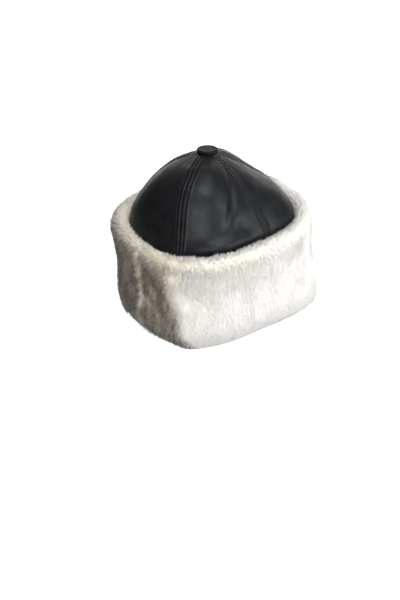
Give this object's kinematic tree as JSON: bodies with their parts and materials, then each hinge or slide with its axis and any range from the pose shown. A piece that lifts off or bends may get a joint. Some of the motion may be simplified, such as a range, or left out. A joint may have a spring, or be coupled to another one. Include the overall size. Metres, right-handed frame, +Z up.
{
  "type": "sheepskin hat",
  "caption": "Warm winter hat: a black leather dome of seamed gores with a covered button on top, inside a deep turned-up cuff of cream sheared wool.",
  "frame": {"origin": "middle of the hat's footprint box, on the surface that the hat stands on", "axes": "+Z up, front of the hat towards -Y, its longer way along Y"},
  "size_m": [0.2048, 0.2544, 0.2043],
  "materials": {
    "black_leather": "soft black nappa leather with a low sheen",
    "cream_wool": "cream sheared sheep's wool, matt and dense"
  },
  "bodies": {
    "root": {"crown_panel_1": "black_leather", "crown_panel_2": "black_leather", "crown_panel_3": "black_leather", "crown_panel_4": "black_leather", "crown_panel_5": "black_leather", "crown_button": "black_leather", "sheepskin_cuff": "cream_wool"}
  },
  "joints": []
}
